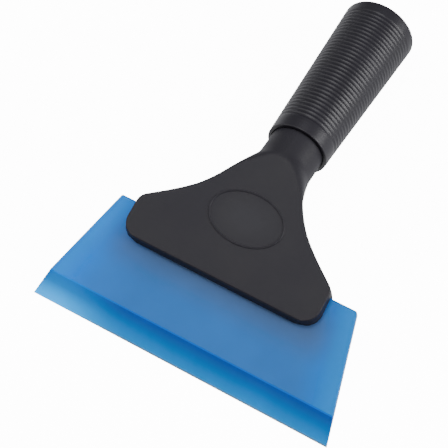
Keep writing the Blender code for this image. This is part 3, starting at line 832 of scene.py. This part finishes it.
# %% Table
def make_table():
    bm = bmesh.new()
    bmesh.ops.create_grid(bm, x_segments=1, y_segments=1, size=3.0)
    table = to_object(bm, "light_table", Matrix.Identity(4))
    made, tree, shader = new_material("white_acrylic_lit", Roughness=0.5, Emission_Strength=13.0)
    place = add_node(tree, "TexCoord", {}, "Object")
    cloud = add_node(tree, "TexNoise", {"Vector": place, "Scale": 3.0})
    white = add_node(tree, "ValToRGB", {"Fac": cloud}, stops=((0.3, "FCFCFC"), (0.7, "FFFFFF")))
    connect(tree, shader, {"Base Color": white, "Emission Color": white})
    table.data.materials.append(made)
    table.visible_diffuse = False
    table.visible_glossy = False
    table.visible_transmission = False
    table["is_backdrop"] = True


make_table()
print("table: white_acrylic_lit, with its top at the height of the tool's feet")

# %% [markdown]
# ## Light
#
# The light is soft. A wide box overhead lights the front face evenly, a box on each side and a strip behind
# on the right draw the long highlights down the grip, and a weak strip low in front picks out the rounded
# edges that face the camera. The room is pale, dimmer in front and behind than overhead, and bright below,
# where the table is.

# %% Light
def add_softbox(name, place, size, power):
    """A rectangular light, sized in metres, that looks at the tool."""
    light = bpy.data.lights.new(name, "AREA")
    light.shape = "RECTANGLE"
    light.size, light.size_y = size
    light.energy = power
    made = bpy.data.objects.new(name, light)
    bpy.context.scene.collection.objects.link(made)
    made.location = place
    made.rotation_euler = (-Vector(place)).to_track_quat("-Z", "Y").to_euler()


add_softbox("overhead", (-0.15, 0.05, 1.0), (0.8, 0.4), 3.2)
add_softbox("left_box", (-0.8, -0.1, 0.55), (0.5, 0.8), 2.2)
add_softbox("right_box", (0.8, 0.1, 0.5), (0.3, 0.8), 7.0)
add_softbox("right_strip", (0.72, 0.5, 0.37), (0.1, 0.4), 1.5)
add_softbox("front_strip", (-0.25, -0.85, 0.25), (0.6, 0.1), 0.6)


def make_room():
    """A pale room: bright below like the table, dim in front and behind, and plain white to the camera."""
    room = bpy.data.worlds.new("pale_room")
    room.use_nodes = True
    tree = room.node_tree
    towards = add_node(tree, "TexCoord", {}, "Generated")
    y = add_node(tree, "SeparateXYZ", {"Vector": towards}, "Y")
    z = add_node(tree, "SeparateXYZ", {"Vector": towards}, "Z")
    front = add_node(tree, "MapRange", {"Value": y, "From Min": -0.8, "From Max": 0.1, "To Min": 0.25})
    above = add_node(tree, "MapRange", {"Value": z, "From Min": 0.0, "From Max": 1.0, "To Min": 0.45,
                                        "To Max": 0.85})
    back = add_node(tree, "MapRange", {"Value": y, "From Min": 0.2, "From Max": 0.75, "To Min": 1.0,
                                       "To Max": 0.6})
    sky = add_node(tree, "Math", {0: front, 1: above}, operation="MULTIPLY")
    sky = add_node(tree, "Math", {0: sky, 1: back}, operation="MULTIPLY")
    horizon = add_node(tree, "MapRange", {"Value": z, "From Min": -0.06, "From Max": 0.0})
    strength = add_node(tree, "Mix", {0: horizon, 2: 1.2, 3: sky})
    seen = add_node(tree, "LightPath", {}, "Is Camera Ray")
    strength = add_node(tree, "Mix", {0: seen, 2: strength, 3: 13.0})
    connect(tree, tree.nodes["Background"], {"Color": colour("F4F5F8"), "Strength": strength})
    bpy.context.scene.world = room


make_room()
print("lights:", ", ".join(sorted(light.name for light in bpy.data.lights)))

# %% [markdown]
# ## Camera
#
# The camera looks down on the front face from beyond the right-hand end of the blade, at a distance of three
# tool lengths. Its place and aim are given in the tool's frame, in millimetres, and carried over like a
# piece. A long lens keeps the perspective mild.

# %% Camera
CAMERA_PLACE = Vector((149.4, -55.4, 593.8))
CAMERA_AIM = Vector((-0.2554, 0.19585, -0.94679))

camera_data = bpy.data.cameras.new("camera")
camera_data.lens = 111.6
camera_data.sensor_width = 36.0
camera = bpy.data.objects.new("camera", camera_data)
bpy.context.scene.collection.objects.link(camera)
camera.location = tool_frame @ CAMERA_PLACE
camera.rotation_euler = (tool_frame.to_3x3() @ CAMERA_AIM).to_track_quat("-Z", "Y").to_euler()
bpy.context.scene.camera = camera
print(f"camera: {camera_data.lens:.1f} mm lens, {(camera.location - tool_origin).length:.3f} m from the edge")

# %% [markdown]
# ## Measure and finish
#
# Both the mechanical model and the finished one are measured, and their bounds are printed.

# %% Measure and finish
seen_low, seen_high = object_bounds()
for label, low, high in (("mechanical model", frame_low, frame_high),
                         ("finished model", seen_low, seen_high)):
    print(label, [round(1000 * c, 2) for c in low], [round(1000 * c, 2) for c in high])
